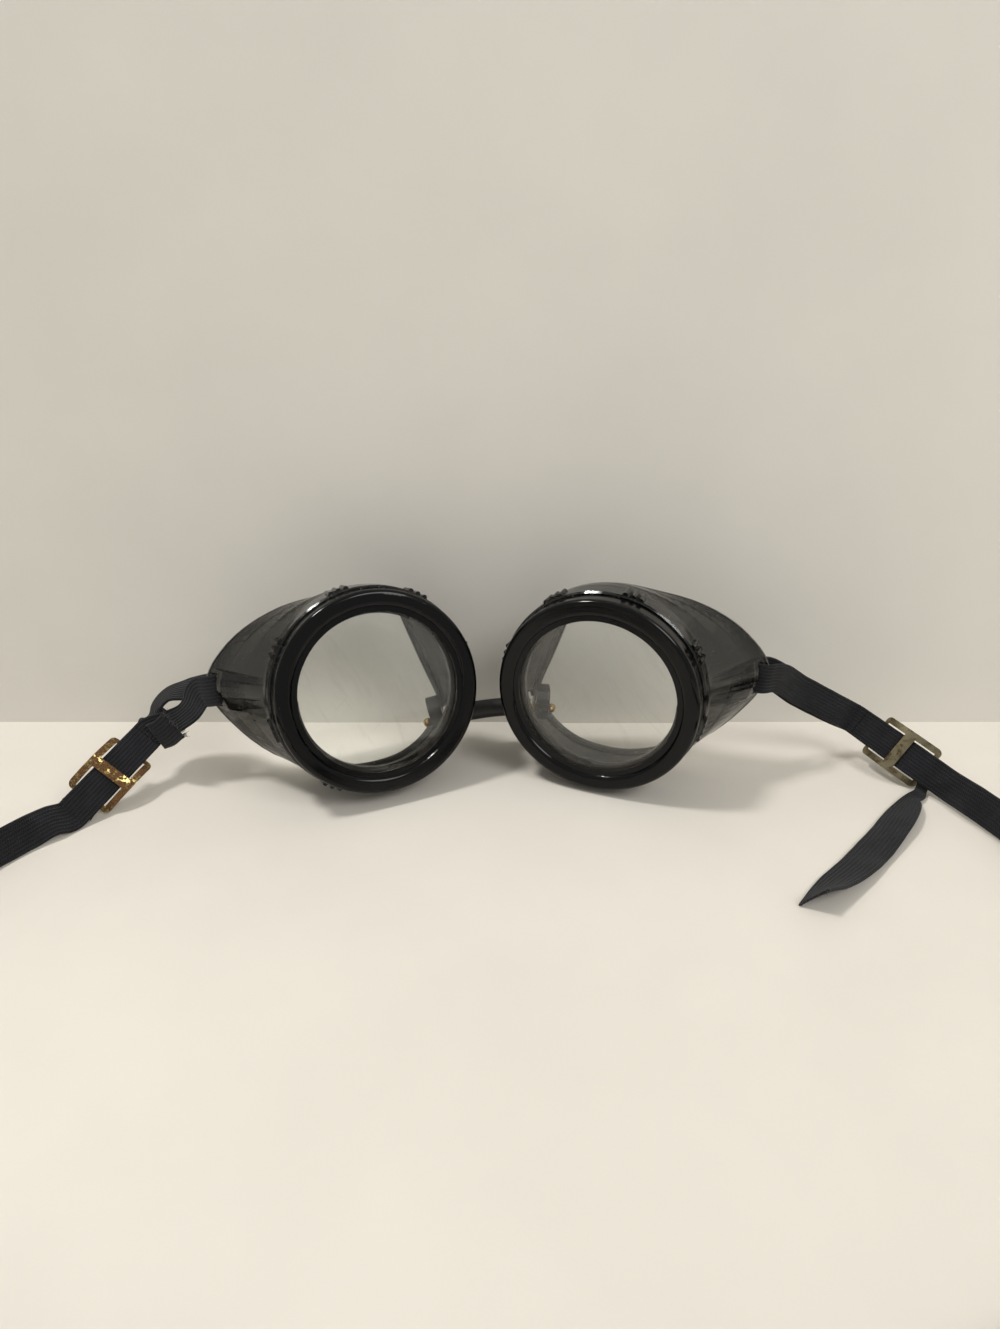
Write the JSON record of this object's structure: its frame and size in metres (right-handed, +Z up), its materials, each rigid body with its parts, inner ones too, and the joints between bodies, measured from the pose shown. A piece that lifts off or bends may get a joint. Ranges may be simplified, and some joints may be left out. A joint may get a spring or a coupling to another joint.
{
  "type": "round cup goggles",
  "caption": "Round cup safety goggles with screw-on lens rings, moulded side shields, a sleeved chain bridge and an elastic headband with slide buckles.",
  "frame": {"origin": "on the floor, under the middle of the bounding box", "axes": "+Z up, -Y towards the viewer (the lenses face it), +X to the viewer's right"},
  "size_m": [0.2969, 0.189, 0.0626],
  "materials": {
    "smoke_plastic": "worn translucent smoke",
    "black_plastic": "gloss",
    "lens_glass": "clear, lightly scratched",
    "fibre": "matt",
    "sleeve_rubber": "satin",
    "chain_brass": "tarnished",
    "elastic": "ribbed weave",
    "slide_rusty": "plated, rust speckled",
    "slide_plated": "plated, worn"
  },
  "bodies": {
    "bridge_and_band": {"bridge_sleeve": "sleeve_rubber", "bridge_chain": "chain_brass", "headband": "elastic", "headband_loop_left": "elastic", "headband_loop_right": "elastic", "headband_tail_left": "elastic", "headband_tail_right": "elastic", "headband_end_left": "elastic"},
    "eye_cup_left": {"cup_left": "smoke_plastic", "chain_end_left": "chain_brass"},
    "lens_stack_left": {"lens_left": "lens_glass", "lens_washer_left": "fibre"},
    "ring_left": {"lens_ring_left": "black_plastic"},
    "slide_left": {"slide_left": "slide_rusty"},
    "eye_cup_right": {"cup_right": "smoke_plastic", "chain_end_right": "chain_brass"},
    "lens_stack_right": {"lens_right": "lens_glass", "lens_washer_right": "fibre"},
    "ring_right": {"lens_ring_right": "black_plastic"},
    "slide_right": {"slide_right": "slide_plated"}
  },
  "joints": [
    {"name": "fold_left", "type": "hinge", "parent": "bridge_and_band", "child": "eye_cup_left", "pos_m": [-0.01581, 0.08676, 0.01249], "axis": [0, 0, 1], "range_deg": [-22, 6], "deforming": ["headband_loop_left"]},
    {"name": "lens_lift_left", "type": "slide", "parent": "eye_cup_left", "child": "lens_stack_left", "axis": [0.4015, -0.881, 0.2504], "range_m": [0, 0.0036]},
    {"name": "ring_turn_left", "type": "hinge", "parent": "lens_stack_left", "child": "ring_left", "pos_m": [-0.03251, 0.06393, 0.0332], "axis": [0.4015, -0.881, 0.2504], "range_deg": [0, 648]},
    {"name": "slide_move_left", "type": "slide", "parent": "bridge_and_band", "child": "slide_left", "axis": [0.5007, 0.751, 0.4306], "range_m": [0, 0.0045]},
    {"name": "fold_right", "type": "hinge", "parent": "bridge_and_band", "child": "eye_cup_right", "pos_m": [0.01376, 0.08985, 0.01484], "axis": [0, 0, 1], "range_deg": [-6, 22], "deforming": ["headband_loop_right"]},
    {"name": "lens_lift_right", "type": "slide", "parent": "eye_cup_right", "child": "lens_stack_right", "axis": [-0.3744, -0.9266, 0.0349], "range_m": [0, 0.0036]},
    {"name": "ring_turn_right", "type": "hinge", "parent": "lens_stack_right", "child": "ring_right", "pos_m": [0.03029, 0.06393, 0.03157], "axis": [-0.3744, -0.9266, 0.0349], "range_deg": [0, 648]},
    {"name": "slide_move_right", "type": "slide", "parent": "bridge_and_band", "child": "slide_right", "axis": [-0.6014, 0.7517, 0.2706], "range_m": [0, 0.0045]}
  ],
  "couplings": [
    {"joint": "lens_lift_left", "follows": "ring_turn_left", "m_per_rad": 0.00031831},
    {"joint": "lens_lift_right", "follows": "ring_turn_right", "m_per_rad": 0.00031831}
  ]
}
